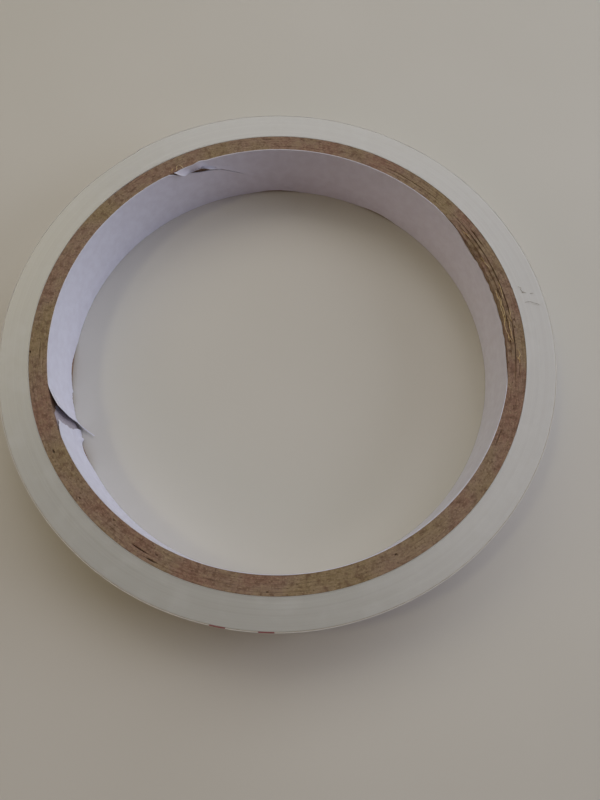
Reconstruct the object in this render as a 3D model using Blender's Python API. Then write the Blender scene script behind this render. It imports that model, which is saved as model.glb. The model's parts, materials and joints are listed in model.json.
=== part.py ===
"""A roll of release-lined adhesive tape on a spiral-wound paper core, lying on its side face.

Frame: metres, +Z along the roll's axis, origin at the centre of the lower face.
Angles run counterclockwise from +X, seen from above. From the bore outwards the roll holds:
a white inner ply, torn once; kraft plies, each a strip closed by one slanting seam; the wound
tape; and the last turn, an adhesive strip under its release liner. The free end of that turn
is a chain of short hinged segments, so that it can peel off the roll.
"""

import math

import bpy
import numpy as np

MM = 0.001

WIDTH = 12.0 * MM  # of the core and the tape, slit together
BORE = 76.2 * MM
CORE_OUTSIDE = 82.3 * MM
ROLL_OUTSIDE = 92.4 * MM

INNER_PLY = 0.25 * MM
KRAFT_PLIES = 5
GLUE_LINE = 0.03 * MM  # clearance between the plies
ADHESIVE = 0.09 * MM
LINER = 0.07 * MM
TAPE_GAP = 0.02 * MM  # clearance between turns

FACET = 3.0  # degrees; every layer shares these facets, so thin gaps stay open
SEAM_RISE = 34.0  # degrees that a ply's seam runs on from the lower face to the upper
SEAM_GAP = 0.5  # degrees between the two edges of a ply at its seam
SEAM_STEP = 137.5  # degrees from one ply's seam to the next one's
INNER_SEAM = 85.0  # lower end of the white ply's seam
TEAR = (200.2, 193.8)  # lower and upper end of the tear through the white ply

END_SEGMENTS = 8
END_STEP = 9.0  # degrees of the roll that one segment of the free end covers
END_ROOT = 54.0  # where the free end starts to peel; its tip lies at END_ROOT + 72
HINGE_GAP = 0.15 * MM  # from a hinge's axis to the end of the strip on each side of it

FLAP_ROOT = 197.0  # where the torn flap leaves the wall
FLAP_STANDOFF = 0.35 * MM  # from the wall to the flap's hinge
FLAP_LIFT = 35.0  # degrees between the flap and the wall
FLAP_THICKNESS = 0.2 * MM
FLAP_OUTLINE = (  # mm along the flap, mm up: a lip as high as the wall, with a spur at its foot
    (0.0, 0.5), (5.0, 0.7), (5.0, 1.4), (2.9, 2.8), (2.6, 11.6), (0.0, 11.7),
)

CUTTER_REACH = 2.0 * MM  # how far a seam's cutter goes past the core on both sides
CUTTER_HEIGHTS = (-0.1, 1.1, 13)  # its lowest and highest row, in widths of the roll, and how many
CUTTER_COLUMN = 6.0  # degrees from one column of a wide cutter to the next


def clear_scene():
    for obj in list(bpy.data.objects):
        bpy.data.objects.remove(obj)


def material(name, color, roughness):
    made = bpy.data.materials.new(name)
    made.use_nodes = True
    shader = made.node_tree.nodes["Principled BSDF"]
    shader.inputs["Base Color"].default_value = (*color, 1.0)
    shader.inputs["Roughness"].default_value = roughness
    shader.inputs["Metallic"].default_value = 0.0
    return made


def around(radius, angles, z):
    """Points on a circle about the roll's axis, one for each angle in degrees."""
    turn = np.radians(angles)
    return np.stack([radius * np.cos(turn), radius * np.sin(turn), np.full_like(turn, z)], axis=1)


def add_object(name, points, faces, finish, pivot=(0.0, 0.0, 0.0), parent=None):
    """An object whose origin is at pivot, in world metres, under an empty that only moves."""
    pivot = np.array(pivot)
    mesh = bpy.data.meshes.new(name)
    mesh.from_pydata((points - pivot).tolist(), [], faces)
    mesh.shade_smooth()
    mesh.set_sharp_from_angle(angle=math.radians(30))
    obj = bpy.data.objects.new(name, mesh)
    bpy.context.scene.collection.objects.link(obj)
    if finish:
        mesh.materials.append(finish)
    if parent:
        obj.parent = parent
    else:
        obj.location = pivot
    return obj


def add_band(name, inner, outer, angles, finish, closed=False, **place):
    """A wall of the full width between two radii, with a corner at each angle.

    Its section is a rectangle whose four corners are carried round the axis. A closed band joins
    its last column to its first; an open one has a flat cap at each end.
    """
    angles = np.asarray(angles, float)
    section = ((inner, 0.0), (outer, 0.0), (outer, WIDTH), (inner, WIDTH))
    points = np.concatenate([around(radius, angles, z) for radius, z in section])
    count = len(angles)
    corner = [[side * count + column for column in range(count)] for side in range(4)]
    faces = []
    for column in range(count if closed else count - 1):
        after = (column + 1) % count
        for side in range(4):
            low, high = corner[side], corner[(side + 1) % 4]
            faces.append((low[column], low[after], high[after], high[column]))
    if not closed:
        faces.append([corner[side][0] for side in range(4)])
        faces.append([corner[side][-1] for side in reversed(range(4))])
    return add_object(name, points, faces, finish, **place)


def facet_angles(start, end):
    """The two ends and every shared facet corner between them, in degrees."""
    first = math.floor(start / FACET) + 1
    last = math.ceil(end / FACET) - 1
    return [start, *[FACET * k for k in range(first, last + 1)], end]


def add_ring(name, inner, outer, finish):
    return add_band(name, inner, outer, np.arange(0.0, 360.0, FACET), finish, closed=True)


def add_slanting_cutter(name, lower, upper):
    """A thick wall through the whole core, whose ends slant.

    lower and upper are its (start, end) angles at the lower and the upper face. A point's angle
    goes evenly from start to end round the wall, and both shift evenly with height, past the faces.
    """
    columns = max(2, round((lower[1] - lower[0]) / CUTTER_COLUMN) + 1)
    heights = np.linspace(*CUTTER_HEIGHTS)
    share = np.linspace(0.0, 1.0, columns)
    start = lower[0] + (upper[0] - lower[0]) * heights
    end = lower[1] + (upper[1] - lower[1]) * heights
    angles = start[:, None] + (end - start)[:, None] * share[None, :]
    radii = (BORE / 2 - CUTTER_REACH, CORE_OUTSIDE / 2 + CUTTER_REACH)
    layers = [around(r, row, h * WIDTH) for r in radii for row, h in zip(angles, heights)]
    rows = len(heights)
    index = np.arange(2 * rows * columns).reshape(2, rows, columns)
    faces = []
    for row in range(rows - 1):
        for column in range(columns - 1):
            inner = index[0, row : row + 2, column : column + 2]
            outer = index[1, row : row + 2, column : column + 2]
            faces.append((inner[0, 0], inner[1, 0], inner[1, 1], inner[0, 1]))
            faces.append((outer[0, 0], outer[0, 1], outer[1, 1], outer[1, 0]))
    for row in range(rows - 1):
        for column, flip in ((0, False), (columns - 1, True)):
            side = index[:, row : row + 2, column]
            face = (side[0, 0], side[1, 0], side[1, 1], side[0, 1])
            faces.append(face[::-1] if flip else face)
    for column in range(columns - 1):
        for row, flip in ((0, True), (rows - 1, False)):
            side = index[:, row, column : column + 2]
            face = (side[0, 0], side[1, 0], side[1, 1], side[0, 1])
            faces.append(face[::-1] if flip else face)
    faces = [[int(corner) for corner in face] for face in faces]
    cutter = add_object(name, np.concatenate(layers), faces, None)
    cutter.hide_render = True
    cutter.display_type = "WIRE"
    return cutter


def cut(obj, cutter):
    modifier = obj.modifiers.new("cut", "BOOLEAN")
    modifier.operation = "DIFFERENCE"
    modifier.solver = "EXACT"
    modifier.object = cutter


def add_kraft_plies(finish):
    first = BORE / 2 + INNER_PLY
    thickness = (CORE_OUTSIDE / 2 - first) / KRAFT_PLIES - GLUE_LINE
    for ply in range(KRAFT_PLIES):
        inner = first + GLUE_LINE + ply * (thickness + GLUE_LINE)
        obj = add_ring(f"kraft_ply_{ply + 1}", inner, inner + thickness, finish)
        seam = (INNER_SEAM + SEAM_STEP * (ply + 1)) % 360.0
        lower = (seam, seam + SEAM_GAP)
        upper = (seam + SEAM_RISE, seam + SEAM_RISE + SEAM_GAP)
        cut(obj, add_slanting_cutter(f"kraft_seam_cutter_{ply + 1}", lower, upper))


def add_inner_ply(finish):
    """The white ply in its two pieces: each is a full ring less the stretch of the other."""
    inner, outer = BORE / 2, BORE / 2 + INNER_PLY
    seam = (INNER_SEAM, INNER_SEAM + SEAM_RISE)
    short_piece = add_ring("inner_ply_short_piece", inner, outer, finish)
    long_piece = add_ring("inner_ply_long_piece", inner, outer, finish)
    short_lower, short_upper = (seam[0], TEAR[0] + SEAM_GAP), (seam[1], TEAR[1] + SEAM_GAP)
    long_lower, long_upper = (TEAR[0], seam[0] + SEAM_GAP + 360.0), (TEAR[1], seam[1] + SEAM_GAP + 360.0)
    cut(long_piece, add_slanting_cutter("inner_short_cutter", short_lower, short_upper))
    cut(short_piece, add_slanting_cutter("inner_long_cutter", long_lower, long_upper))


def add_torn_flap(finish):
    """The torn end of the white ply: a thin six-sided plate that stands off the wall."""
    hinge = around(BORE / 2 - FLAP_STANDOFF, [FLAP_ROOT], 0.0)[0]
    heading = math.radians(FLAP_ROOT + 90.0 + FLAP_LIFT)
    along = np.array([math.cos(heading), math.sin(heading), 0.0])
    across = np.array([-along[1], along[0], 0.0]) * FLAP_THICKNESS / 2
    outline = [hinge + along * s * MM + np.array([0.0, 0.0, z * MM]) for s, z in FLAP_OUTLINE]
    points = np.array([p - across for p in outline] + [p + across for p in outline])
    corners = len(outline)
    faces = [list(range(corners)), [corners + c for c in reversed(range(corners))]]
    for corner in range(corners):
        after = (corner + 1) % corners
        faces.append((corner, corner + corners, after + corners, after))
    axis = add_hinge("torn_flap_axis", hinge)
    add_object("torn_flap", points, faces, finish, pivot=hinge, parent=axis)


def add_hinge(name, place, parent=None, parent_place=(0.0, 0.0, 0.0)):
    """An empty on a hinge's axis, placed in world metres under an empty that only moves."""
    empty = bpy.data.objects.new(name, None)
    bpy.context.scene.collection.objects.link(empty)
    empty.empty_display_size = 5 * MM
    empty.parent = parent
    empty.location = np.asarray(place) - np.asarray(parent_place)
    return empty


def add_tape(wound_finish, adhesive_finish, liner_finish):
    """The winding, its last turn in two layers, and the free end, segment by segment."""
    liner = (ROLL_OUTSIDE / 2 - LINER, ROLL_OUTSIDE / 2)
    adhesive = (liner[0] - TAPE_GAP - ADHESIVE, liner[0] - TAPE_GAP)
    add_ring("tape_winding", CORE_OUTSIDE / 2 + GLUE_LINE, adhesive[0] - TAPE_GAP, wound_finish)

    hinge_radius = (adhesive[0] + liner[1]) / 2
    gap = math.degrees(HINGE_GAP / hinge_radius)
    end_tip = END_ROOT + END_SEGMENTS * END_STEP
    turn = facet_angles(end_tip + gap, END_ROOT + 360.0 - gap)
    add_band("outer_turn_adhesive", *adhesive, turn, adhesive_finish)
    add_band("outer_turn_liner", *liner, turn, liner_finish)

    axis, axis_place = None, np.zeros(3)
    for segment in range(END_SEGMENTS):
        start = END_ROOT + segment * END_STEP
        place = around(hinge_radius, [start], 0.0)[0]
        axis = add_hinge(f"tape_end_axis_{segment + 1}", place, axis, axis_place)
        axis_place = place
        angles = facet_angles(start + gap, start + END_STEP - gap)
        for layer, radii, finish in (
            ("adhesive", adhesive, adhesive_finish),
            ("liner", liner, liner_finish),
        ):
            name = f"tape_end_{layer}_{segment + 1}"
            add_band(name, *radii, angles, finish, pivot=place, parent=axis)


def main():
    clear_scene()
    kraft = material("kraft_paperboard", (0.22, 0.145, 0.085), 0.95)
    white_paper = material("white_ply_paper", (0.72, 0.71, 0.74), 0.8)
    wound_tape = material("wound_tape_edges", (0.66, 0.64, 0.62), 0.4)
    adhesive = material("adhesive_tissue", (0.70, 0.68, 0.62), 0.3)
    release_liner = material("release_liner_paper", (0.78, 0.76, 0.74), 0.45)
    add_inner_ply(white_paper)
    add_torn_flap(white_paper)
    add_kraft_plies(kraft)
    add_tape(wound_tape, adhesive, release_liner)


main()
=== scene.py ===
"""Looks of a roll of release-lined adhesive tape on a spiral-wound paper core, lying on its side face.

Metres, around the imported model. A place on the roll is an angle in degrees, counterclockwise from
+X, a radius and a height above the lower face. Small sizes are written in millimetres, times MM.
Every wall is one closed solid: a section's outline is a row of points, carried round the axis.
"""

import json
import math

import bpy
import numpy as np
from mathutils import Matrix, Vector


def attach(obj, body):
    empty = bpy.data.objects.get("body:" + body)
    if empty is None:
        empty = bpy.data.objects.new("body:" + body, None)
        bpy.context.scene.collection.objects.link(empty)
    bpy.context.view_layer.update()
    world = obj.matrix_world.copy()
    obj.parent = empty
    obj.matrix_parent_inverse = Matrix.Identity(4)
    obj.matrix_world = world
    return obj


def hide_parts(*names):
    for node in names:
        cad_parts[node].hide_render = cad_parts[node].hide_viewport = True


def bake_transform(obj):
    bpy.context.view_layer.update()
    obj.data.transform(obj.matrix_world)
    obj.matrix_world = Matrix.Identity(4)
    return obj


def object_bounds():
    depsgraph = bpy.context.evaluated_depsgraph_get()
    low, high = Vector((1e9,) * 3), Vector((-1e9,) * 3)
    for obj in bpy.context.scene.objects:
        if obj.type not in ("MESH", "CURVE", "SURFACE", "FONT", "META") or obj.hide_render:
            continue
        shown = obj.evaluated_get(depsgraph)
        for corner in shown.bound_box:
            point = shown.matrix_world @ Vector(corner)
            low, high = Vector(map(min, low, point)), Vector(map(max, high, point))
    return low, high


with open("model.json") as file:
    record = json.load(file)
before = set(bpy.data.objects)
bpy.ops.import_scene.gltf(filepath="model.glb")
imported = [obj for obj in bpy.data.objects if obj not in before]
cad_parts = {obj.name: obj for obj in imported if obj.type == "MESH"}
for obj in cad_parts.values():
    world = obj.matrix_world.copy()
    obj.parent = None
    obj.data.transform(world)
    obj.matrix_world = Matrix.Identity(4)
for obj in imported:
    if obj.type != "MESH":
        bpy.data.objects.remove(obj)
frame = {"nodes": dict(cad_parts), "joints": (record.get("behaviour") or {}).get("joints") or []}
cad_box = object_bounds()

MM = 0.001


def radii(node):
    """The two radii between which a node's wall lies: the usual ones of its inner and outer corners."""
    reach = np.hypot(*np.array([v.co[:2] for v in frame["nodes"][node].data.vertices]).T)
    middle = (reach.min() + reach.max()) / 2
    return float(np.median(reach[reach < middle])), float(np.median(reach[reach > middle]))


WIDTH = cad_box[1].z
BORE = radii("inner_ply_long_piece")[0]
PLIES = [radii(f"kraft_ply_{number}") for number in range(1, 6)]
WINDING = radii("tape_winding")
ADHESIVE = radii("outer_turn_adhesive")
LINER = radii("outer_turn_liner")
HINGES = [joint["pos_m"] for joint in frame["joints"]]  # the free end's from its root on, the flap's
HINGE_ANGLES = [math.degrees(math.atan2(place[1], place[0])) % 360 for place in HINGES[:-1]]
END_ROOT = HINGE_ANGLES[0]
END_STEP = HINGE_ANGLES[1] - HINGE_ANGLES[0]
END_TIP = END_ROOT + END_STEP * len(HINGE_ANGLES)
TURN = LINER[1] - WINDING[1]  # thickness of the last turn of tape and liner
REAL_TURN = 0.16 * MM  # thickness of each wound turn

INNER_SEAM = 85.0  # lower end of the white ply's seam
SEAM_RISE = 34.0  # degrees by which a kraft ply's seam climbs round the core
SEAM_STEP = 137.5  # degrees from one ply's seam to the next ply's
LOOSE = (-14.0, -3.0, 27.0, 43.5)  # where the inner plies start, and stop, being loose at the top


def smooth(x, start, end):
    """0 up to start and 1 from end on, with 3t^2 - 2t^3 between; it falls where end is below start."""
    t = np.clip((x - start) / (end - start), 0.0, 1.0)
    return t * t * (3.0 - 2.0 * t)


def bump(x, centre, half):
    """A smooth hump, 1 at the centre and 0 from half away on."""
    return smooth(np.abs(x - centre), half, 0.0)


def away_from(angle, place):
    """angle minus place, in degrees, brought to between -180 and 180."""
    return np.mod(angle - place + 180.0, 360.0) - 180.0


def grain(seed, shape, along=0.0, across=0.0):
    """White noise smoothed by a Gaussian of those widths, in cells, that joins up at both edges.

    The noise's Fourier transform is multiplied by exp(-2 (pi f s)^2) each way; its spread is then 1.
    """
    noise = np.random.default_rng(seed).standard_normal(shape)
    slow = [np.exp(-2 * (np.pi * np.fft.fftfreq(count) * width) ** 2)
            for count, width in zip(shape, (along, across))]
    made = np.fft.ifft2(np.fft.fft2(noise) * slow[0][:, None] * slow[1][None, :]).real
    return made / made.std()


def outline(angle):
    """How far the wound tape stands out from its true circle: three slow waves of about 0.05 mm."""
    turn = np.radians(angle)
    waves = 0.5 * np.cos(3 * turn + 0.6) + 0.35 * np.cos(5 * turn + 2.1) + 0.3 * np.cos(11 * turn + 4.0)
    return 0.055 * MM * waves


def spiral(angle):
    """What the last turn's radius still lacks: one turn of tape just past the tip, 0 at the root."""
    past = np.mod(angle - END_TIP, 360.0)
    whole = END_ROOT + 360.0 - END_TIP
    return TURN * np.clip(past / whole - 1.0, None, 0.0)


def polar(angle, radius, height):
    """Points from angles, radii and heights, which may be arrays that fit together."""
    angle, radius, height = np.broadcast_arrays(np.radians(angle), radius, height)
    return np.stack([radius * np.cos(angle), radius * np.sin(angle), height], axis=-1)


def add_solid(name, loops, finishes, closed=False, corners=None, uv=None, body=None, slot=None,
              replaces=(), parts=None):
    """A closed solid from loops[column, row], outlines of its section that follow each other.

    A closed solid's last outline joins its first. An open one has a cap at each end, a ladder of
    quads between the two walls of the section: corners is (rows up one wall, rows across the top).
    uv has a place for each row of each outline, and one outline more on a closed solid.
    parts gives each row's number in finishes.
    """
    columns, rows = loops.shape[:2]
    index = np.arange(columns * rows).reshape(columns, rows)
    after = np.roll(index, -1, axis=0) if closed else index[1:]
    start = index if closed else index[:-1]
    faces = np.stack([start, after, np.roll(after, -1, 1), np.roll(start, -1, 1)], axis=-1).reshape(-1, 4)
    row_of = np.tile(np.arange(rows), len(start))
    if not closed:
        up, across = corners
        near = np.arange(-(across // 2), up + across // 2)
        far = 2 * up + across - 1 - near
        rungs = index[:, near % rows], index[:, far % rows]
        for end, flip in ((0, False), (-1, True)):
            one, two = rungs[0][end], rungs[1][end]
            cap = np.stack([one[:-1], one[1:], two[1:], two[:-1]], axis=-1)
            faces = np.concatenate([faces, cap[:, ::-1] if flip else cap])
            row_of = np.concatenate([row_of, np.zeros(len(cap), int)])
    points = loops.reshape(-1, 3)
    a, b, c, d = (points[faces[:, k]] for k in range(4))
    inside_out = (np.einsum("ij,ij->i", a, np.cross(b, c) + np.cross(c, d))).sum() < 0
    mesh = bpy.data.meshes.new(name)
    mesh.vertices.add(len(points))
    mesh.vertices.foreach_set("co", points.astype(np.float32).ravel())
    order = faces[:, ::-1] if inside_out else faces
    mesh.loops.add(order.size)
    mesh.loops.foreach_set("vertex_index", order.astype(np.int32).ravel())
    mesh.polygons.add(len(order))
    mesh.polygons.foreach_set("loop_start", np.arange(0, order.size, 4, dtype=np.int32))
    if parts is not None:
        mesh.polygons.foreach_set("material_index", np.asarray(parts, np.int32)[row_of])
    if uv is not None:
        column, row = np.divmod(faces, rows)
        if closed:
            column[: len(start) * rows, 1:3] = column[: len(start) * rows, :1] + 1
        places = uv[column, row][:, ::-1] if inside_out else uv[column, row]
        layer = mesh.uv_layers.new(name="strip")
        layer.data.foreach_set("uv", places.astype(np.float32).ravel())
    mesh.update(calc_edges=True)
    mesh.validate()
    mesh.shade_smooth()
    mesh.set_sharp_from_angle(angle=math.radians(50))
    for finish in finishes:
        mesh.materials.append(finish)
    obj = bpy.data.objects.new(name, mesh)
    bpy.context.scene.collection.objects.link(obj)
    if body:
        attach(obj, body)
    if replaces:
        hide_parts(*replaces)
    return obj


# ---------------------------------------------------------------- materials


def srgb(code):
    """A hex colour as linear red, green, blue and 1."""
    parts = [int(code[k:k + 2], 16) / 255 for k in (1, 3, 5)]
    return (*[c / 12.92 if c <= 0.04045 else ((c + 0.055) / 1.055) ** 2.4 for c in parts], 1.0)


def add_node(tree, kind, inputs=None, **settings):
    """A node with its settings; an input given as another node's socket is linked, any other is set."""
    node = tree.nodes.new(kind)
    for name, value in settings.items():
        setattr(node, name, value)
    for key, value in (inputs or {}).items():
        if isinstance(value, bpy.types.NodeSocket):
            tree.links.new(value, node.inputs[key])
        else:
            node.inputs[key].default_value = value
    return node


def new_material(name, **shader_inputs):
    """A material with one Principled BSDF; returns it with its node tree and the shader."""
    made = bpy.data.materials.new(name)
    made.use_nodes = True
    tree = made.node_tree
    shader = tree.nodes["Principled BSDF"]
    for key, value in shader_inputs.items():
        shader.inputs[key.replace("_", " ")].default_value = value
    return made, tree, shader


PATTERN_RADIUS = 40.0  # mm; the radius at which the length of a pattern round the roll is true


def round_axis(tree, along, across):
    """Noise coordinates that follow the roll.

    A vector, the unit direction from the axis times PATTERN_RADIUS / along, plus the radius / across
    upwards, and the height / across as a fourth number. along and across are in mm.
    """
    place = add_node(tree, "ShaderNodeTexCoord").outputs["Object"]
    xyz = add_node(tree, "ShaderNodeSeparateXYZ", {0: place})
    flat = add_node(tree, "ShaderNodeCombineXYZ", {0: xyz.outputs[0], 1: xyz.outputs[1]})
    length = add_node(tree, "ShaderNodeVectorMath", {0: flat.outputs[0]}, operation="LENGTH")
    unit = add_node(tree, "ShaderNodeVectorMath", {0: flat.outputs[0]}, operation="NORMALIZE")
    wide = add_node(tree, "ShaderNodeVectorMath", {0: unit.outputs[0], "Scale": PATTERN_RADIUS / along},
                    operation="SCALE")
    out, height = (add_node(tree, "ShaderNodeMath", {0: size, 1: 1 / (across * MM)}, operation="MULTIPLY")
                   for size in (length.outputs["Value"], xyz.outputs[2]))
    lift = add_node(tree, "ShaderNodeCombineXYZ", {2: out.outputs[0]})
    vector = add_node(tree, "ShaderNodeVectorMath", {0: wide.outputs[0], 1: lift.outputs[0]},
                      operation="ADD")
    return vector.outputs[0], height.outputs[0]


def streaks(tree, along, across, detail=3.0):
    """Noise drawn out along the tape or the plies, about along mm long and across mm wide."""
    vector, height = round_axis(tree, along, across)
    settings = {"Vector": vector, "W": height, "Scale": 1.0, "Detail": detail}
    return add_node(tree, "ShaderNodeTexNoise", settings, noise_dimensions="4D").outputs["Fac"]


def specks(tree, size, detail=2.0):
    """Noise without direction, with grains of about size mm."""
    place = add_node(tree, "ShaderNodeTexCoord").outputs["Object"]
    settings = {"Vector": place, "Scale": 1 / (size * MM), "Detail": detail}
    return add_node(tree, "ShaderNodeTexNoise", settings).outputs["Fac"]


def overlay(tree, base, colour, pattern, none, full, most=1.0):
    """colour laid over base, from not at all where pattern is none to a share of most where it is full."""
    share = add_node(tree, "ShaderNodeMapRange", {0: pattern, 1: none, 2: full, 3: 0.0, 4: most})
    mixed = add_node(tree, "ShaderNodeMix", {0: share.outputs[0], 6: base, 7: colour}, data_type="RGBA")
    return mixed.outputs[2]


def dress(tree, shader, colour, relief, strength, depth):
    """Gives the shader its colour, and a relief of depth mm where the pattern relief goes from 0 to 1."""
    settings = {"Strength": strength, "Distance": depth * MM, "Height": relief}
    rough = add_node(tree, "ShaderNodeBump", settings)
    tree.links.new(colour, shader.inputs["Base Color"])
    tree.links.new(rough.outputs[0], shader.inputs["Normal"])


def kraft_board():
    """Grey-brown kraft paperboard, knife-cut: streaks and fibres along each ply, dark and light bits.

    Slow patches, some millimetres long, are more olive or more red. Real fibres are about 0.03 mm
    across; they are drawn some five times as coarse, so that they show.
    """
    made, tree, shader = new_material("kraft_paperboard_knife_cut", Roughness=0.95, Specular_IOR_Level=0.2)
    long_streaks = streaks(tree, 1.6, 0.34, 4.0)  # bundles of fibres
    fibres = streaks(tree, 0.45, 0.15, 3.0)
    clumps = specks(tree, 0.9, 1.0)  # lumps of pulp
    patches = specks(tree, 7.0, 2.0)  # recycled pulp of another hue
    grit = specks(tree, 0.30, 2.0)
    base = overlay(tree, srgb("#8b7562"), srgb("#988270"), long_streaks, 0.36, 0.66)
    base = overlay(tree, base, srgb("#8c7d52"), patches, 0.48, 0.66, 0.50)
    base = overlay(tree, base, srgb("#875c4f"), patches, 0.52, 0.34, 0.45)
    base = overlay(tree, base, srgb("#a08c70"), clumps, 0.52, 0.70, 0.45)
    base = overlay(tree, base, srgb("#6a5040"), clumps, 0.47, 0.30, 0.60)
    base = overlay(tree, base, srgb("#b79f80"), fibres, 0.56, 0.72, 0.45)
    base = overlay(tree, base, srgb("#5e4935"), fibres, 0.44, 0.28, 0.40)
    base = overlay(tree, base, srgb("#b8a184"), grit, 0.58, 0.70, 0.45)
    base = overlay(tree, base, srgb("#453324"), grit, 0.39, 0.28, 0.65)
    fine = add_node(tree, "ShaderNodeMath", {0: fibres, 1: specks(tree, 0.12)}, operation="ADD")
    dress(tree, shader, base, fine.outputs[0], 0.6, 0.05)
    return made


def white_ply_paper():
    """White machine-finished paper: matt and even, with a faint cloud of fibres.

    Its fibres are 0.02 mm across too, and are drawn as flecks of a quarter of a millimetre.
    """
    made, tree, shader = new_material("white_paper_machine_finished", Roughness=0.75,
                                      Specular_IOR_Level=0.3)
    cloud = specks(tree, 1.6, 4.0)
    fibre = specks(tree, 0.25, 3.0)
    base = overlay(tree, srgb("#dcdbe7"), srgb("#e2e2ee"), cloud, 0.35, 0.65)
    base = overlay(tree, base, srgb("#d2d0da"), fibre, 0.6, 0.75, 0.2)
    dress(tree, shader, base, fibre, 0.2, 0.02)
    return made


def torn_paper_painted_shade():
    """The inside of white paper that was pulled apart, with a nap of fibres; its dull grey is painted
    shade, standing for the white paper in the shadow of the torn lip.
    """
    made, tree, shader = new_material("white_paper_pulled_apart_painted_shade", Roughness=0.9, Specular_IOR_Level=0.2)
    nap = specks(tree, 0.3, 4.0)
    # painted shade: these greys are the white paper's shadowed tone, not the paper's own colour
    base = overlay(tree, srgb("#aba3aa"), srgb("#bcb4bb"), nap, 0.35, 0.65)
    dress(tree, shader, base, nap, 0.6, 0.05)
    return made


def wound_tape():
    """Slit edges of many turns of tissue tape and silicone paper: milky, faintly lined, slightly waxy."""
    made, tree, shader = new_material(
        "slit_tape_edges_milky", Specular_IOR_Level=0.9, Coat_Weight=1.0, Coat_Roughness=0.3,
        Subsurface_Weight=0.35, Subsurface_Radius=(1.0, 0.95, 0.85), Subsurface_Scale=1.0 * MM)
    lines = streaks(tree, 60.0, REAL_TURN / MM, 1.0)  # the turns
    bands = streaks(tree, 200.0, 0.7, 2.0)  # a few turns wound tighter or more loosely
    cloud = specks(tree, 3.5, 3.0)  # wear from handling
    base = overlay(tree, srgb("#bdbcb6"), srgb("#c1c1bb"), lines, 0.35, 0.65)
    base = overlay(tree, base, srgb("#b9b8b2"), bands, 0.4, 0.62, 0.4)
    base = overlay(tree, base, srgb("#cacac6"), cloud, 0.5, 0.7, 0.35)
    dress(tree, shader, base, lines, 0.06, 0.01)
    gloss = add_node(tree, "ShaderNodeMapRange", {0: cloud, 1: 0.3, 2: 0.7, 3: 0.28, 4: 0.38})
    tree.links.new(gloss.outputs[0], shader.inputs["Roughness"])
    return made


PRINT_GROUPS = 3  # pairs of bars in one turn
PRINT_BARS = (259.4, 268.2)  # middles of one pair, in degrees
PRINT_HALF = 1.45  # half a bar's breadth, in degrees
PRINT_SKEW = 0.9  # share of the width by which the print's upper end falls in one turn


def printed(tree):
    """1 on the ink and 0 off it. The strip's own map runs once round in u, and up its width in v.

    The bars lie where u, counted in groups, is near one of two places, and above a quarter of v.
    The print is skewed: it reaches the upper edge at one group only, and less of v away from it.
    """
    strip = add_node(tree, "ShaderNodeUVMap", uv_map="strip").outputs[0]
    u, v = add_node(tree, "ShaderNodeSeparateXYZ", {0: strip}).outputs[:2]
    distances = []
    for middle in PRINT_BARS:
        value = u
        for operation, other in (
            ("SUBTRACT", middle / 360 - 0.5 / PRINT_GROUPS),
            ("MULTIPLY", float(PRINT_GROUPS)),
            ("FLOORED_MODULO", 1.0),
            ("SUBTRACT", 0.5),
            ("ABSOLUTE", 0.0),
        ):
            value = add_node(tree, "ShaderNodeMath", {0: value, 1: other}, operation=operation).outputs[0]
        distances.append(value)
    nearest = add_node(tree, "ShaderNodeMath", dict(enumerate(distances)), operation="MINIMUM")
    past = add_node(tree, "ShaderNodeMath", {0: u, 1: sum(PRINT_BARS) / 720}, operation="SUBTRACT")
    away = add_node(tree, "ShaderNodeMath", {0: past.outputs[0]}, operation="ABSOLUTE")
    reach = add_node(tree, "ShaderNodeMath", {0: away.outputs[0], 1: PRINT_SKEW, 2: v},
                     operation="MULTIPLY_ADD")
    half = PRINT_HALF / 360 * PRINT_GROUPS
    ink = 1.0
    for value, off, on, least in (
        (nearest.outputs[0], half * 1.05, half * 0.95, 0.0),
        (v, 0.24, 0.27, 0.0),
        (reach.outputs[0], 1.08, 1.05, 0.0),
        (specks(tree, 0.5), 0.3, 0.42, 0.75),  # the ink is worn thin in specks
    ):
        mask = add_node(tree, "ShaderNodeMapRange", {0: value, 1: off, 2: on, 3: least, 4: 1.0})
        inked = add_node(tree, "ShaderNodeMath", {0: ink, 1: mask.outputs[0]}, operation="MULTIPLY")
        ink = inked.outputs[0]
    return ink


def release_liner():
    """Silicone-coated release paper: satin white, with short crimson bars printed on it."""
    made, tree, shader = new_material("silicone_release_paper_printed", Roughness=0.38, Coat_Weight=0.15,
                                      Coat_Roughness=0.3)
    paper = overlay(tree, srgb("#dddad6"), srgb("#e6e4e1"), specks(tree, 2.0, 3.0), 0.35, 0.65)
    base = overlay(tree, paper, srgb("#8f2a38"), printed(tree), 0.0, 1.0)
    dress(tree, shader, base, specks(tree, 0.3, 3.0), 0.25, 0.02)
    return made


def adhesive_tissue():
    """Tissue soaked in clear adhesive: glossy, slightly yellow, dimpled; the print shows through."""
    made, tree, shader = new_material("acrylic_adhesive_tissue", Roughness=0.22)
    cloud = specks(tree, 0.8, 3.0)
    base = overlay(tree, srgb("#cfc8b6"), srgb("#dcd7c9"), cloud, 0.35, 0.65)
    base = overlay(tree, base, srgb("#a3323f"), printed(tree), 0.0, 1.0, 0.6)
    dress(tree, shader, base, cloud, 0.3, 0.04)
    return made


def fibre(name, dark, light):
    """A single cellulose fibre, torn out of the board: dull, its colour uneven along it."""
    made, tree, shader = new_material(name, Roughness=0.7)
    base = overlay(tree, srgb(dark), srgb(light), specks(tree, 0.5), 0.35, 0.65)
    tree.links.new(base, shader.inputs["Base Color"])
    return made


# ---------------------------------------------------------------- the core


def loose(angle):
    """1 where the inner plies are loose at the top, 0 elsewhere."""
    angle = away_from(angle, 0.0)
    return smooth(angle, LOOSE[0], LOOSE[1]) * smooth(angle, LOOSE[3], LOOSE[2])


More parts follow.
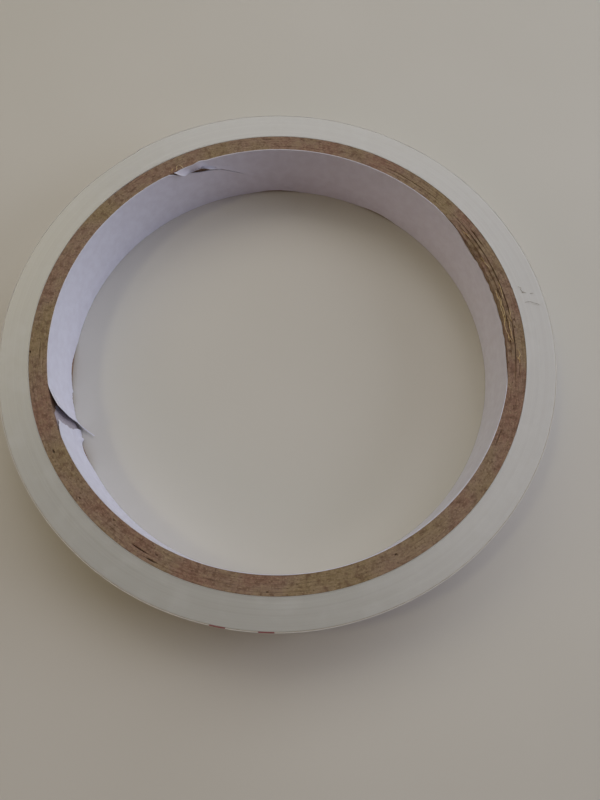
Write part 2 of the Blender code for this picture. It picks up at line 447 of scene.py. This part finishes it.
def band_section(rows, across):
    """A wall's outline, from its lower inner corner: up the inside, over, down the outside, back.

    Returns each row's share from the inner to the outer radius, its share of the height, and the
    counts that a cap needs. The walls have rows from corner to corner, closer near both edges; a
    slanting seam would cut across the curve with fewer. across is how many lie between the
    corners of a face.
    """
    wall = (1.0 - np.cos(np.pi * np.linspace(0.0, 1.0, rows))) / 2
    step = np.arange(1, across + 1) / (across + 1)
    out = np.concatenate([np.zeros(rows), step, np.ones(rows), step[::-1]])
    up = np.concatenate([wall, np.ones(across), wall[::-1], np.zeros(across)])
    return out, up, (rows, across)


CRACKS = (  # open splits at the top: boundary between plies, middle angle, half length, width in mm
    (3, 355.3, 3.4, 0.09),
    (2, 18.0, 12.0, 0.025),
    (3, 205.5, 3.0, 0.06),
    (4, 209.0, 1.8, 0.07),
    (1, 300.0, 3.0, 0.04),
    (3, 318.0, 2.0, 0.03),
    (2, 150.0, 3.0, 0.03),
    (4, 60.0, 2.0, 0.03),
)
PITS = (  # small holes in the top: angle, radius in mm, half length along the ply in mm, depth in mm
    (209.6, 40.1, 0.30, 0.7),
    (184.4, 41.0, 0.22, 0.5),
    (243.3, 39.6, 0.22, 0.4),
    (296.6, 39.4, 0.25, 0.4),
    (5.0, 39.9, 0.22, 0.4),
    (222.0, 40.4, 0.25, 0.35),
    (231.0, 39.0, 0.20, 0.35),
    (268.0, 40.6, 0.20, 0.3),
    (13.2, 38.75, 0.35, 0.5),
    (9.3, 38.6, 0.40, 0.6),
    (6.3, 38.65, 0.45, 0.6),
    (3.0, 39.7, 0.30, 0.5),
)


def crack_opening(boundary, angle):
    """How wide the split at that boundary is open at the top, in metres."""
    opening = np.zeros_like(angle)
    for place, middle, half, width in CRACKS:
        if place == boundary:
            away = np.abs(away_from(angle, middle))
            opening = np.maximum(opening, width * MM * smooth(away, half, 0.35 * half))
    return opening


PLY_GAP = 0.24  # degrees left open at a kraft ply's seam
GLUE_REACH = 0.008 * MM  # by which a ply reaches into the glue line on either side
BEHIND_WHITE = BORE + 0.14 * MM  # where the first ply starts, just behind the white paper
EDGE_FALL = 0.07 * MM  # breadth over which a cut face falls away to its edge
PIT_BREADTH = 0.16  # mm, half a pit's size across the plies
HOLE = (113.8, 0.80)  # angle and share of the height of the hole under the white ply's corner
HOLE_DEPTH = 0.38 * MM  # by which the first ply is torn out behind it
LOOSE_SINK = (0.50 * MM, 0.14 * MM)  # by which the first two plies sink where they are loose
LOOSE_LEAN = 0.10 * MM  # by which their tops lean inwards there


def add_kraft_ply(number, finish):
    """A ply of the core: a band closed by one slanting seam, its cut faces fibrous.

    The faces fall away at both edges by a depth that wanders along the ply, and at a crack by
    three times its width, where the edge also draws back by half of it. Noise drawn out along
    the ply roughens them. The two inner plies sink and lean inwards where they are loose.
    """
    inner, outer = PLIES[number - 1][0] - GLUE_REACH, PLIES[number - 1][1] + GLUE_REACH
    if number == 1:
        inner = BEHIND_WHITE
    columns = 1500
    out, up, corners = band_section(13, 6)
    seam = INNER_SEAM + SEAM_STEP * number + SEAM_RISE * up[None, :]
    angle = seam + PLY_GAP / 2 + (360.0 - PLY_GAP) * np.linspace(0.0, 1.0, columns)[:, None]
    top = (up > 0.999).astype(float)
    bottom = (up < 0.001).astype(float)
    near_top = np.clip(up * 4 - 3, 0, 1)
    thick = outer - inner
    drop = np.zeros((columns, len(out)))
    pull = np.zeros((columns, len(out)))
    for side, boundary in ((0, number - 1), (1, number)):
        near = np.exp(-np.abs(out - side) * thick / EDGE_FALL)[None, :]
        for face, seed in ((top, 10), (bottom, 40)):
            wander = np.abs(grain(seed + 2 * number + side, (columns, 1), 9.0)) * 0.006
            chips = np.clip(grain(seed + 20 + boundary, (columns, 1), 14.0) - 0.9, 0, None) * 0.025
            drop += near * (wander + chips) * MM * face
        opening = crack_opening(boundary, angle[:, -1])[:, None]
        opening = opening * (1.0 + 0.35 * grain(70 + boundary + side, (columns, 1), 4.0))
        drop += 3.0 * near * opening * top
        pull += 0.5 * (1 - 2 * side) * near * opening * near_top
    relief = grain(100 + number, (columns, len(out)), 5.0, 0.7) * 0.014
    relief += grain(120 + number, (columns, len(out)), 1.2, 0.4) * 0.007
    drop += np.clip(relief + 0.02, 0, None) * MM * (top + bottom)[None, :]
    radius = inner + out[None, :] * thick + pull
    for place, reach, half, depth in PITS:
        along = np.radians(away_from(angle, place)) * reach
        away = np.hypot(along / half, (radius / MM - reach) / PIT_BREADTH)
        drop += depth * MM * smooth(away, 1.0, 0.2) * top
    if number == 1:
        hollow = bump(np.mod(angle, 360.0), HOLE[0], 3.6) * bump(up, HOLE[1], 0.16)
        radius = radius + HOLE_DEPTH * hollow * (out < 0.01)
    if number <= len(LOOSE_SINK):
        slack = loose(angle)
        torn = 0.55 + 0.2 * grain(150 + number, (columns, 1), 18.0)
        torn += 0.15 * grain(160 + number, (columns, 1), 3.0)
        rough = 0.05 * MM * np.abs(grain(170 + number, (columns, len(out)), 3.0, 0.5))
        drop += slack * (LOOSE_SINK[number - 1] * np.clip(torn, 0.1, 1.3) + rough * top)
        radius -= LOOSE_LEAN * slack * up[None, :]
    height = WIDTH * up[None, :] + np.where(bottom > 0, drop, -drop * near_top)
    return add_solid(f"kraft_ply_{number}_board", polar(angle, radius, height), [finish], corners=corners,
                     body="roll", slot="kraft_paperboard", replaces=[f"kraft_ply_{number}"])


SEAM_CLIMB = 31.0  # degrees by which the white ply's seam climbs evenly
SEAM_SHIFT = 6.0  # degrees more, where its pointed corner is crumpled


def seam_angle(up):
    """The white ply's seam: it climbs evenly, but lies flatter where its pointed corner is crumpled."""
    return INNER_SEAM + SEAM_CLIMB * up + SEAM_SHIFT * smooth(up, 0.72, 0.92)


def ragged_end(seed, rows, size):
    """Unevenness of a sheet's upright end, in degrees, one value for each row."""
    return size * grain(seed, (1, rows), 0.0, 1.0)


def sheet_loops(middle, thickness):
    """Section outlines of a sheet: its middle surface moved half its thickness each way.

    The way is the cross product of the surface's two directions. Rows run up one side and down
    the other.
    """
    along = np.gradient(middle, axis=0)
    across = np.gradient(middle, axis=1)
    way = np.cross(along, across)
    way /= np.linalg.norm(way, axis=-1, keepdims=True)
    half = way * thickness / 2
    return np.concatenate([middle + half, (middle - half)[:, ::-1]], axis=1)


PLY_THICKNESS = 0.11 * MM  # the paper itself; its glue line is taken up by the kraft behind it
PLY_MIDDLE = BORE + PLY_THICKNESS / 2 + 0.01 * MM
PLY_WAVES = 0.012 * MM  # slow unevenness of the paper on the wall
TEAR = (200.5, 202.6)  # where the long piece starts, at the foot and further up
LIP_LEAVES = (196.2, 193.2)  # where the white ply's torn end leaves the wall, at the foot and the top
LIP_LENGTH = (2.3, 4.2)  # mm from there to the torn edge
LIP_TURN = (25.0, 19.0)  # degrees by which it has turned inwards there
SPUR_LENGTH = 3.2  # mm by which the pointed spur at its foot runs on
SPUR_TURN = 14.0  # degrees by which it turns further inwards
SPUR_HEIGHT = 0.6 * MM  # towards which the spur narrows
TORN_LAYER = (197.8, 203.6)  # where the layer left on the wall starts and ends
LAYER_MIDDLE, LAYER_THICKNESS = BORE + 0.105 * MM, 0.05 * MM


def ragged_edge(seed, columns, size):
    """Fine unevenness of a torn or worn edge, size mm of it, one value for each column."""
    return size * MM * (0.7 * grain(seed, (columns, 1), 6.0) + 0.5 * grain(seed + 1, (columns, 1), 1.5))


def lower_edge(angle, seed):
    """Height of the white ply's lower edge, worn back on the left by about a millimetre."""
    worn = 1.0 * bump(angle, 182.5, 9.0) + 0.45 * bump(angle, 191.0, 4.0) + 1.25 * bump(angle, 210.5, 7.0)
    worn += 0.35 * bump(angle, 92.0, 10.0) * (angle > INNER_SEAM) - 0.6 * bump(angle, 188.9, 0.8)
    size = 0.03 + 0.10 * bump(angle, 193.0, 26.0)
    return np.clip(0.02 + worn, 0.02, None) * MM + np.abs(ragged_edge(seed, len(angle), 1.0)) * size


def add_long_piece(finish):
    """The white ply from the tear round to the seam: a sheet on the bore's wall.

    Its upper edge has sunk and leans inwards where the core is loose. At the tear its end stands
    off the wall a little and its corner is gone. Its last degrees, the pointed corner above the
    seam, are lifted in two humps with a crease between them.
    """
    columns, rows = 1150, 34
    up = np.linspace(0.0, 1.0, rows)[None, :]
    along = np.linspace(0.0, 1.0, columns)[:, None]
    start = TEAR[0] + (TEAR[1] - TEAR[0]) * smooth(up, 0.0, 0.6) + ragged_end(300, rows, 0.12)
    end = 360.0 + seam_angle(up) - 0.6 * smooth(up, 0.82, 1.0) + ragged_end(301, rows, 0.1)
    angle = start + (end - start) * along
    # The upper edge: it has sunk where the core is loose, and its corner at the tear is gone.
    turn = angle[:, -1:]
    slack = loose(turn)
    torn = 0.75 + 0.35 * grain(302, (columns, 1), 22.0) + 0.12 * grain(303, (columns, 1), 3.0)
    top = WIDTH - np.abs(ragged_edge(304, columns, 0.02)) - slack * MM * np.clip(torn, 0.25, 1.5)
    top = top - 0.6 * MM * smooth(turn, 204.4, 203.0)
    low = lower_edge(np.mod(turn, 360.0), 305)
    height = low + (top - low) * up
    radius = PLY_MIDDLE - 0.14 * MM * slack * smooth(up, 0.3, 1.0)
    radius = radius - PLY_WAVES * grain(306, (columns, rows), 30.0, 5.0)
    # The corner above the seam: below is 1 on the seam and 0 at the upper edge.
    past = angle - 360.0
    heights = np.linspace(0.0, 1.0, 200)
    seam_up = np.interp(past, seam_angle(heights), heights)
    below = 1.0 - np.clip((up - seam_up) / np.maximum(1.0 - seam_up, 0.02), 0.0, 1.0)
    lift = below * (0.75 * bump(past, 113.7, 2.6) + 0.9 * smooth(past, 116.6, 119.6))
    height = height + 0.75 * bump(past, HOLE[0], 2.8) * (top - height) * below
    height = height + 0.30 * MM * bump(past, 113.6, 2.2) * smooth(up, 0.85, 1.0)
    # The seam's edge, the end at the tear, and a small dog-ear at its foot stand off the wall too.
    lift = lift + 0.10 * smooth(seam_angle(up) - past, 3.5, 0.0) * smooth(up, 0.2, 0.5)
    lift = lift + 0.30 * smooth(angle, start + 5.0, start + 0.4)
    lift = lift + 0.35 * bump(angle, 203.4, 0.9) * smooth(up, 0.22, 0.02)
    radius = radius - lift * MM
    loops = sheet_loops(polar(angle, radius, height), PLY_THICKNESS)
    return add_solid("white_ply_long_piece", loops, [finish], corners=(rows, 0), body="roll",
                     slot="inner_ply_paper", replaces=["inner_ply_long_piece"])


def add_torn_layer(finish):
    """What the tear left on the wall: the white ply's rear half, a thinner sheet with ragged edges. Its
    grey finish is painted shade, the lip's shadow on the wall.
    """
    columns, rows = 60, 40
    up = np.linspace(0.0, 1.0, rows)[None, :]
    angle = np.linspace(*TORN_LAYER, columns)[:, None] + 0.2 * grain(330, (1, rows), 0.0, 1.5)
    top = (10.1 + 1.3 * smooth(angle[:, -1:], 198.6, 200.8)) * MM + ragged_edge(331, columns, 0.07)
    low = lower_edge(angle[:, :1], 333)
    height = low + (top - low) * up
    loops = sheet_loops(polar(angle, LAYER_MIDDLE, height), LAYER_THICKNESS)
    return add_solid("white_ply_torn_layer", loops, [finish], corners=(rows, 0), body="roll",
                     slot="inner_ply_paper")


def add_short_piece(finish):
    """The white ply from the seam to the tear, and its torn end, a lip that leaves the wall.

    On the wall it is a sheet like the other piece, with its rows closer together at the foot. It
    starts at the seam, by a slit that widens upwards, and is torn back at the hole. Past the line
    where it leaves the wall, each row goes on by small steps whose heading turns inwards from the
    wall's by up to LIP_TURN degrees. Its lowest rows run on past the torn edge into a pointed
    spur, which turns further inwards.
    """
    on_wall, off_wall, rows = 600, 80, 46
    up = np.linspace(0.0, 1.0, rows)[None, :] ** 1.25
    along = np.linspace(0.0, 1.0, on_wall)[:, None]
    hole = 1.8 * bump(up, HOLE[1], 0.07)
    slit = 0.12 + 0.4 * smooth(up, 0.3, 0.75)
    start = seam_angle(up) + slit + hole + ragged_end(310, rows, 0.10)
    leaves = LIP_LEAVES[0] + (LIP_LEAVES[1] - LIP_LEAVES[0]) * up
    angle = start + (leaves - start) * along
    # The wall's part: its upper edge is even where the lip starts, so that the two meet.
    low = lower_edge(angle[:, :1], 311)
    top = WIDTH - np.abs(ragged_edge(313, on_wall, 0.02)) * smooth(along, 1.0, 0.97)
    height = low + (top - low) * up
    radius = PLY_MIDDLE - PLY_WAVES * grain(312, (on_wall, rows), 30.0, 5.0) * smooth(along, 1.0, 0.95)
    radius = radius - 0.10 * MM * bump(along, 0.0, 0.03) * smooth(up, 0.2, 0.5)
    wall = polar(angle, radius, height)
    # The lip's part: gone is how far a place lies past the line where the sheet leaves the wall.
    lip = (LIP_LENGTH[0] + (LIP_LENGTH[1] - LIP_LENGTH[0]) * smooth(up, 0.0, 0.75)) * MM
    spur = SPUR_LENGTH * MM * smooth(up, 0.12, 0.02)
    length = lip + spur + 0.06 * MM * grain(314, (1, rows), 0.0, 0.8)
    gone = np.linspace(0.0, 1.0, off_wall + 1)[1:, None] * length
    most = LIP_TURN[0] + (LIP_TURN[1] - LIP_TURN[0]) * up
    turned = most * smooth(gone / lip, -0.2 - 0.4 * up, 0.8)
    turned += SPUR_TURN * smooth((gone - lip) / MM, -0.4, 1.0)
    curve = np.degrees(np.minimum(gone, 0.8 * MM) / PLY_MIDDLE)  # at first it follows the wall
    heading = np.radians(leaves + 90.0 + curve + turned)
    step = length / off_wall
    path = np.stack([np.cos(heading) * step, np.sin(heading) * step], axis=-1).cumsum(axis=0)
    past = np.clip((gone - lip) / (SPUR_LENGTH * MM), 0.0, 1.0)
    edge = wall[-1:, :, 2] + (SPUR_HEIGHT - wall[-1:, :, 2]) * 0.8 * past
    end = np.concatenate([wall[-1:, :, :2] + path, edge[..., None]], axis=-1)
    loops = sheet_loops(np.concatenate([wall, end]), PLY_THICKNESS)
    piece = add_solid("white_ply_short_piece", loops, [finish], corners=(rows, 0),
                      slot="inner_ply_paper", replaces=["inner_ply_short_piece", "torn_flap"])
    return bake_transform(piece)


# ---------------------------------------------------------------- the tape


def strip_map(angle, up):
    """The strip's own map: u is the angle in turns, v the share of the width."""
    u, v = np.broadcast_arrays(angle / 360.0, up)
    return np.stack([u, v], axis=-1)


def add_winding(edges, liner):
    """The wound turns: a ring whose side faces are ridged, one low ridge for each turn.

    Across a face the height dips at the joint of two turns and swells between; each turn also
    stands up or down by a slow noise of its own. Its outer wall is the liner of the turn below.
    """
    inner, outer = WINDING
    columns, turns = 480, round((outer - inner) / REAL_TURN)
    shape = np.array([(0.05, -0.003), (0.3, -0.0005), (0.7, 0.0)])  # share of a turn, height in mm
    step = (np.arange(turns)[:, None] + shape[None, :, 0]).ravel() / turns
    dip = np.tile(shape[:, 1], turns)
    across = len(step)
    angle = 360.0 * np.arange(columns)[:, None] / columns
    stand = 0.0025 * (grain(400, (columns, turns), 14.0, 0.8) + grain(401, (1, turns), 0.0, 0.8))  # mm
    stand[:, 0] += 0.03  # the first turn stands up against the core
    faces = (np.repeat(stand, 3, axis=1) + dip[None, :]) * MM
    out = np.concatenate([[0.0, 0.0], step, [1.0, 1.0], step[::-1]])
    up = np.concatenate([[0.0, 1.0], np.ones(across), [1.0, 0.0], np.zeros(across)])
    rise = np.zeros((columns, len(out)))
    rise[:, 2:2 + across] = faces
    rise[:, 4 + across:] = np.abs(faces[:, ::-1])
    end = outer + outline(angle) + spiral(angle)
    radius = inner + out[None, :] * (end - inner)
    height = WIDTH * up[None, :] + rise
    loops = polar(angle, radius, height)
    parts = np.zeros(len(out), int)
    parts[2 + across] = 1
    around = np.concatenate([angle, [[360.0]]])
    return add_solid("tape_winding_turns", loops, [edges, liner], closed=True,
                     uv=strip_map(around, up[None, :]), body="roll", slot="wound_tape",
                     replaces=["tape_winding"], parts=parts)


STRIP_WAVER = 0.012 * MM  # by which a strip's edges wander up and down


def add_strip(name, between, angle, sunk, finish, seed, **place):
    """A strip of the last turn: a wall between two radii, following the outline and the spiral.

    Its edges are rounded over a third of its thickness. sunk is how many mm its upper edge lies
    below the roll's face.
    """
    inner, outer = between
    out = np.array([0.0, 0.0, 0.0, 0.3, 0.7, 1.0, 1.0, 1.0, 0.7, 0.3])
    up = np.array([0.0, 0.5, 1.0, 1.0, 1.0, 1.0, 0.5, 0.0, 0.0, 0.0])
    soft = np.array([1.0, 0.0, 1.0, 0.0, 0.0, 1.0, 0.0, 1.0, 0.0, 0.0]) * 0.25 * (outer - inner)
    angle = angle[:, None]
    radius = inner + out[None, :] * (outer - inner) + outline(angle) + spiral(angle)
    low = 0.02 * MM + soft
    high = WIDTH - sunk * MM - soft
    height = np.where(up > 0.75, high, np.where(up < 0.25, low, WIDTH / 2))[None, :]
    height = height + STRIP_WAVER * grain(seed, (len(angle), 1), 12.0) * (up[None, :] - 0.5)
    return add_solid(name, polar(angle, radius, height), [finish], corners=(3, 2),
                     uv=strip_map(angle, up[None, :]), **place)


TIP_GAP = 0.2  # degrees between the free end's tip and the start of the last turn


def add_last_turn(adhesive, liner):
    """The last turn's two strips, from just past the tip round to the root, then the free end.

    The free end is cut at the middle of each of its segments; the first piece starts at its hinge, and the
    last ends at the tip.
    """
    span = np.linspace(END_TIP + TIP_GAP, END_ROOT + 360.0, 900)
    for layer, between, sunk, finish, record_slot, seed in (
        ("adhesive", ADHESIVE, 0.10, adhesive, "adhesive_tissue", 18),
        ("liner", LINER, 0.06, liner, "release_liner", 15),
    ):
        add_strip(f"last_turn_{layer}", between, span, sunk, finish, seed, body="roll",
                  slot=record_slot, replaces=[f"outer_turn_{layer}"])
        middle = sum(between) / 2
        for number, hinge in enumerate(HINGE_ANGLES, start=1):
            first, last = number == 1, number == len(HINGE_ANGLES)
            start = hinge if first else hinge - END_STEP / 2
            end = END_TIP if last else hinge + END_STEP / 2
            piece = add_strip(f"free_end_{layer}_{number}", between, np.linspace(start, end, 40), sunk,
                              finish, seed + 1, slot=record_slot, replaces=[f"tape_end_{layer}_{number}"])
            polar(start, middle, WIDTH / 2)
            polar(hinge + END_STEP / 2, middle, WIDTH / 2)
            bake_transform(piece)


# ---------------------------------------------------------------- loose fibres


def add_strands(name, strands, thickness, finish, wander=0.1, seed=500):
    """Loose fibres as one piece: thin six-sided tubes.

    Each goes from one (angle, radius, height) to another, in degrees and mm, bowed upwards by its
    last number of mm, and wanders sideways by a smooth noise.
    """
    steps, sides = 28, 6
    t = np.linspace(0.0, 1.0, steps)[:, None]
    ring = np.radians(60.0 * np.arange(sides))
    pieces = []
    for number, (start, end, bow) in enumerate(strands):
        place = np.array(start)[None, :] * (1 - t) + np.array(end)[None, :] * t
        sway = grain(seed + number, (steps, 2), 3.0) * wander * np.sin(np.pi * t)
        place[:, 1:] += sway * (1.0, 0.25)
        place[:, 2:] += bow * np.sin(np.pi * t)
        path = polar(place[:, 0], place[:, 1] * MM, place[:, 2] * MM)
        along = np.gradient(path, axis=0)
        along /= np.linalg.norm(along, axis=1, keepdims=True)
        side = np.cross(along, (0.0, 0.0, 1.0))
        side /= np.linalg.norm(side, axis=1, keepdims=True)
        upward = np.cross(side, along)
        thin = thickness / 2 * MM * (0.35 + 0.65 * np.sin(np.pi * t) ** 0.5)
        pieces.append(path[:, None] + thin[:, None] * (side[:, None] * np.cos(ring)[None, :, None]
                                                       + upward[:, None] * np.sin(ring)[None, :, None]))
    objs = [add_solid(f"{name}_{number}", loops, [finish], corners=(3, 0))
            for number, loops in enumerate(pieces, start=1)]
    with bpy.context.temp_override(active_object=objs[0], selected_editable_objects=objs):
        bpy.ops.object.join()
    objs[0].name = name
    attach(objs[0], "roll")
    return objs[0]


def add_loose_fibres():
    """Pale fibres pulled out of the open splits and the crumpled corner, brown ones on the tape."""
    pale = fibre("kraft_fibre_bleached", "#cfab6c", "#f0dcb0")
    brown = fibre("kraft_fibre_brown", "#6d5a45", "#93806a")
    top = WIDTH / MM
    add_strands("pale_fibres_in_split", (
        ((13.8, 38.35, top - 0.20), (7.6, 38.20, top - 0.12), 0.10),
        ((8.2, 38.20, top - 0.12), (1.8, 38.25, top - 0.05), 0.10),
        ((2.4, 38.22, top - 0.06), (-0.8, 38.50, top), 0.06),
        ((12.0, 38.60, top - 0.20), (5.0, 38.55, top - 0.15), 0.12),
        ((5.6, 38.9, top - 0.10), (-1.0, 39.2, top - 0.02), 0.08),
        ((16.0, 39.3, top - 0.10), (11.0, 39.05, top - 0.05), 0.08),
        ((8.0, 39.5, top - 0.05), (4.5, 39.35, top - 0.05), 0.08),
        ((1.0, 38.5, top - 0.25), (-1.2, 38.9, top - 0.05), 0.08),
        ((-2.8, 39.75, top), (-6.4, 40.0, top + 0.04), 0.12),
        ((-4.9, 39.5, top), (-5.8, 40.2, top + 0.05), 0.10),
        ((24.0, 38.7, top - 0.35), (20.0, 39.0, top - 0.15), 0.10),
        ((33.0, 38.6, top - 0.15), (29.5, 38.9, top - 0.05), 0.08),
        ((120.6, 38.3, top), (119.4, 39.3, top + 0.05), 0.15),
        ((121.8, 38.35, top), (120.8, 39.1, top + 0.05), 0.10),
        ((118.2, 38.3, top), (118.9, 39.0, top + 0.05), 0.12),
    ), 0.09, pale)
    add_strands("brown_fibres_on_tape", (
        ((13.4, 42.2, top + 0.05), (12.0, 42.6, top + 0.05), 0.08),
        ((12.0, 42.6, top + 0.05), (11.4, 43.3, top + 0.05), 0.05),
        ((9.1, 42.5, top + 0.06), (9.0, 43.6, top + 0.05), 0.08),
        ((9.0, 43.6, top + 0.05), (7.9, 45.0, top + 0.04), 0.08),
        ((11.1, 43.9, top + 0.05), (10.9, 44.4, top + 0.05), 0.03),
    ), 0.05, brown, wander=0.12, seed=540)


# ---------------------------------------------------------------- floor, light and camera


BACKGROUND = "#b5b0a6"  # what shows past the floor, the same pale tone
FLOOR_RADIUS = 2.5  # metres
FLOOR_FADE = (0.18, 0.6)  # metres from the roll's axis over which the floor turns into background


def add_floor():
    """A plain pale floor: a wide disc just under the roll, fading into the background far from it."""
    made, tree, shader = new_material("plain_matt_floor", Roughness=0.6)
    base = overlay(tree, srgb("#cecbc2"), srgb("#d2cfc7"), specks(tree, 60.0, 2.0), 0.3, 0.7)
    place = add_node(tree, "ShaderNodeTexCoord").outputs["Object"]
    away = add_node(tree, "ShaderNodeVectorMath", {0: place}, operation="LENGTH").outputs["Value"]
    black = (0.0, 0.0, 0.0, 1.0)
    tree.links.new(overlay(tree, base, black, away, *FLOOR_FADE), shader.inputs["Base Color"])
    shader.inputs["Emission Color"].default_value = srgb(BACKGROUND)
    for name, at_roll, far_off in (("Emission Strength", 0.0, 1.0), ("Specular IOR Level", 0.5, 0.0)):
        settings = {0: away, 1: FLOOR_FADE[0], 2: FLOOR_FADE[1], 3: at_roll, 4: far_off}
        fade = add_node(tree, "ShaderNodeMapRange", settings)
        tree.links.new(fade.outputs[0], shader.inputs[name])
    sides = 96
    turn = np.linspace(0.0, 360.0, sides, endpoint=False)
    mesh = bpy.data.meshes.new("floor")
    mesh.from_pydata(polar(turn, FLOOR_RADIUS, -0.02 * MM).tolist(), [], [list(range(sides))])
    mesh.materials.append(made)
    floor = bpy.data.objects.new("floor", mesh)
    bpy.context.scene.collection.objects.link(floor)


LIGHTS = (  # name, azimuth from +X and elevation in degrees, breadth in metres, watts, colour
    ("side_window", 0.0, 22.0, 0.50, 2.45, (0.83, 0.86, 1.0)),
    ("low_window", 45.0, 22.0, 0.50, 1.20, (0.89, 0.96, 1.0)),
    ("high_window", 38.0, 60.0, 0.65, 1.45, (0.94, 0.91, 1.0)),
    ("far_panel", 90.0, 50.0, 0.50, 1.15, (1.0, 0.98, 0.98)),
    ("warm_panel", 140.0, 45.0, 0.50, 0.95, (1.0, 0.90, 0.64)),
    ("left_panel", 180.0, 22.0, 0.50, 0.60, (1.0, 0.92, 0.78)),
    ("left_lamp", 184.0, 65.0, 0.10, 0.50, (1.0, 0.93, 0.60)),
    ("near_bounce", 235.0, 22.0, 0.50, 0.55, (1.0, 0.52, 0.42)),
)
PANEL_DISTANCE = 0.9  # metres
SPOT_BREADTH = 0.2  # metres; a smaller lamp than this would show as a spot on the waxy tape edges
SKY_SHARE = 0.04  # how much of the background lights the roll


def add_lights():
    """Soft studio light: square panels around the roll, and a background that hardly lights it."""
    for name, azimuth, elevation, breadth, watts, colour in LIGHTS:
        panel = bpy.data.lights.new(name, "AREA")
        panel.size, panel.energy, panel.color = breadth, watts, colour
        holder = bpy.data.objects.new(name, panel)
        holder.visible_glossy = breadth > SPOT_BREADTH
        a, e = math.radians(azimuth), math.radians(elevation)
        holder.location = polar(azimuth, PANEL_DISTANCE * math.cos(e), PANEL_DISTANCE * math.sin(e))
        holder.rotation_euler = (math.pi / 2 - e, 0.0, a + math.pi / 2)
        bpy.context.scene.collection.objects.link(holder)
    world = bpy.data.worlds.new("plain_background")
    world.use_nodes = True
    tree = world.node_tree
    seen = add_node(tree, "ShaderNodeLightPath").outputs["Is Camera Ray"]
    strength = add_node(tree, "ShaderNodeMapRange", {0: seen, 3: SKY_SHARE})
    background = tree.nodes["Background"]
    background.inputs["Color"].default_value = srgb(BACKGROUND)
    tree.links.new(strength.outputs[0], background.inputs["Strength"])
    bpy.context.scene.world = world


def add_camera():
    """Looks steeply down into the ring, from above its near side, with hardly any roll."""
    data = bpy.data.cameras.new("camera")
    data.lens, data.sensor_width = 26.3, 36.0
    data.clip_start, data.clip_end = 0.002, 20.0
    camera = bpy.data.objects.new("camera", data)
    camera.location = (1.6 * MM, -40.6 * MM, 101.3 * MM)
    camera.rotation_euler = (math.radians(18.23), math.radians(-1.13), 0.0)
    bpy.context.scene.collection.objects.link(camera)
    bpy.context.scene.camera = camera


def main():
    """Camera, light and floor, then the roll from its core outwards."""
    add_camera()
    add_lights()
    add_floor()
    kraft = kraft_board()
    paper = white_ply_paper()
    liner = release_liner()
    for number in range(1, len(PLIES) + 1):
        add_kraft_ply(number, kraft)
    add_long_piece(paper)
    add_torn_layer(torn_paper_painted_shade())
    add_short_piece(paper)
    add_winding(wound_tape(), liner)
    add_last_turn(adhesive_tissue(), liner)
    add_loose_fibres()
    bpy.context.scene.view_settings.view_transform = "Standard"


main()
